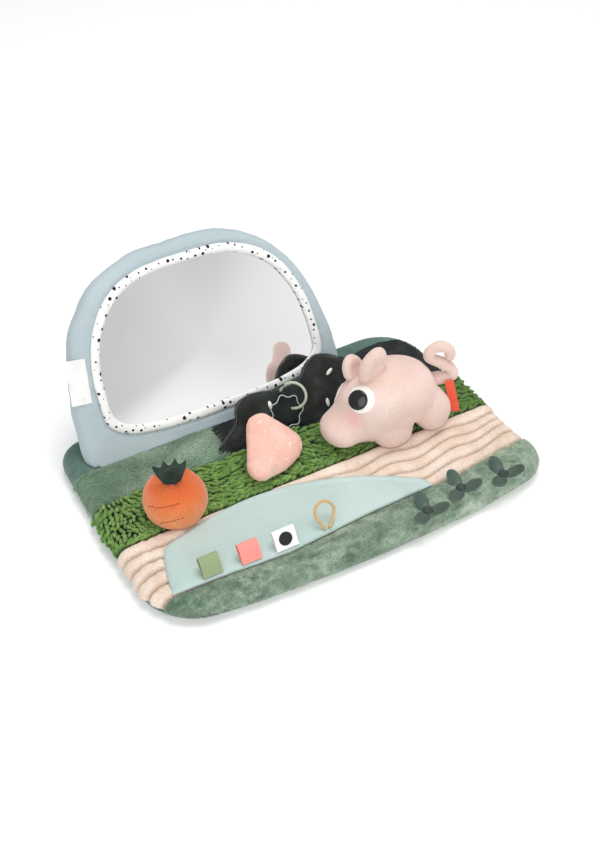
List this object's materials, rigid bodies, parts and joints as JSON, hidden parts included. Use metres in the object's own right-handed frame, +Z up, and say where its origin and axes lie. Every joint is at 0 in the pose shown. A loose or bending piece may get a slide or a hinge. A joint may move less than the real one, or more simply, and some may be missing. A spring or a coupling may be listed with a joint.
{
  "type": "tummy time book",
  "caption": "Padded fold-out play mat for babies with a leaning framed safety mirror, a lift flap, ribbon tabs, spinning leaves and loose soft toys.",
  "frame": {"origin": "centre of the object's footprint, on the surface that the mat lies on", "axes": "+X along the front edge of the mat to the right, +Y from the front edge towards the mirror, +Z up"},
  "size_m": [0.3722, 0.3066, 0.1669],
  "materials": {
    "cover_green": "short-pile dark green velour",
    "wadding": "white polyester wadding",
    "marbled_velvet": "crushed velvet, light and dark green",
    "wide_wale_cord": "wide-wale corduroy, pale peach",
    "grass_chenille": "chenille noodle pile, grass green",
    "sage_plush": "long-nap plush, sage green",
    "dark_plush": "long-nap plush, near black",
    "pale_blue_cotton": "pale blue-grey woven cotton",
    "mirror_film": "flexible plastic safety mirror",
    "board": "stiff flat board",
    "speckled_binding": "white cotton with small black dots",
    "white_ribbon": "white woven tape",
    "dark_felt": "dark green-black felt",
    "pale_ring": "pale green moulded ring",
    "clear_teether": "clear silicone",
    "mint_satin": "pale mint satin",
    "green_ribbon": "green grosgrain",
    "coral_ribbon": "coral grosgrain",
    "tan_cord": "tan braided cord",
    "green_silicone": "dark green matt silicone",
    "orange_velour": "orange velour",
    "coral_plush": "coral pink terry plush",
    "pink_velour": "pale pink velour",
    "white_felt": "white felt",
    "black_patch": "black satin stitch",
    "red_ribbon": "coral red woven tape"
  },
  "bodies": {
    "mat": {"back_cover": "cover_green", "base_wadding": "wadding", "velvet_front_panel": "marbled_velvet", "corduroy_panel": "wide_wale_cord", "grass_panel": "grass_chenille", "sage_plush_panel": "sage_plush", "dark_plush_panel": "dark_plush", "rear_apron": "cover_green", "rivet_1": "green_silicone", "rivet_2": "green_silicone", "rivet_3": "green_silicone"},
    "mirror": {"mirror_back_cover": "pale_blue_cotton", "mirror_front_cover": "pale_blue_cotton", "mirror_sheet": "mirror_film", "mirror_board": "board", "mirror_pad": "wadding", "mirror_binding": "speckled_binding", "side_label": "white_ribbon"},
    "hedge": {"hedge_cushion": "dark_plush", "ring_cord": "dark_felt"},
    "teether": {"teether_ring": "pale_ring", "teether_leaf": "clear_teether"},
    "pond": {"pond_flap": "mint_satin"},
    "tab_green": {"ribbon_tab_green": "green_ribbon"},
    "tab_coral": {"ribbon_tab_coral": "coral_ribbon"},
    "tab_white": {"ribbon_tab_white": "white_ribbon"},
    "loop": {"cord_loop": "tan_cord"},
    "leaf_1": {"trefoil_1": "green_silicone"},
    "leaf_2": {"trefoil_2": "green_silicone"},
    "leaf_3": {"trefoil_3": "green_silicone"},
    "carrot": {"carrot_body": "orange_velour", "carrot_leaves": "dark_felt"},
    "coral": {"coral_cushion": "coral_plush"},
    "pig": {"pig_body": "pink_velour", "pig_ear_near": "pink_velour", "pig_ear_far": "pink_velour", "pig_eye_near": "white_felt", "pig_eye_far": "white_felt", "pig_pupil_near": "black_patch", "pig_pupil_far": "black_patch", "pig_tail": "pink_velour", "pig_tag": "red_ribbon"}
  },
  "joints": [
    {"name": "mirror_fold", "type": "hinge", "parent": "mat", "child": "mirror", "pos_m": [-0.03861, 0.0475, 0.0203], "axis": [1, 0, 0], "range_deg": [0, 24]},
    {"name": "hedge_fold", "type": "hinge", "parent": "mat", "child": "hedge", "pos_m": [0.01689, 0.0065, 0.0203], "axis": [1, 0, 0], "range_deg": [-8, 2], "stiffness_Nm_per_rad": 0.6},
    {"name": "teether_swing", "type": "hinge", "parent": "hedge", "child": "teether", "pos_m": [0.01689, 0.02402, 0.05984], "axis": [-1, 0, 0], "range_deg": [0, 10]},
    {"name": "pond_lift", "type": "hinge", "parent": "mat", "child": "pond", "pos_m": [-0.04311, -0.12, 0.0216], "axis": [1, 0, 0], "range_deg": [0, 70]},
    {"name": "tab_green_bend", "type": "hinge", "parent": "pond", "child": "tab_green", "pos_m": [-0.13211, -0.11525, 0.0241], "axis": [1, 0, 0], "range_deg": [-38, 50], "stiffness_Nm_per_rad": 0.004},
    {"name": "tab_coral_bend", "type": "hinge", "parent": "pond", "child": "tab_coral", "pos_m": [-0.09861, -0.1178, 0.0241], "axis": [1, 0, 0], "range_deg": [-38, 50], "stiffness_Nm_per_rad": 0.004},
    {"name": "tab_white_bend", "type": "hinge", "parent": "pond", "child": "tab_white", "pos_m": [-0.06711, -0.11949, 0.0241], "axis": [1, 0, 0], "range_deg": [-38, 50], "stiffness_Nm_per_rad": 0.004},
    {"name": "loop_bend", "type": "hinge", "parent": "pond", "child": "loop", "pos_m": [-0.02961, -0.11763, 0.0246], "axis": [1, 0, 0], "range_deg": [-38, 50], "stiffness_Nm_per_rad": 0.004},
    {"name": "leaf_1_spin", "type": "hinge", "parent": "mat", "child": "leaf_1", "pos_m": [0.05489, -0.1405, 0.0229], "axis": [0, 0, 1], "continuous": true},
    {"name": "leaf_2_spin", "type": "hinge", "parent": "mat", "child": "leaf_2", "pos_m": [0.09489, -0.132, 0.0229], "axis": [0, 0, 1], "continuous": true},
    {"name": "leaf_3_spin", "type": "hinge", "parent": "mat", "child": "leaf_3", "pos_m": [0.13639, -0.1365, 0.0229], "axis": [0, 0, 1], "continuous": true},
    {"name": "carrot_lift", "type": "slide", "parent": "mat", "child": "carrot", "axis": [0, 0, 1], "range_m": [0, 0.12]},
    {"name": "coral_lift", "type": "slide", "parent": "mat", "child": "coral", "axis": [0, 0, 1], "range_m": [0, 0.12]},
    {"name": "pig_lift", "type": "slide", "parent": "mat", "child": "pig", "axis": [0, 0, 1], "range_m": [0, 0.12]}
  ]
}
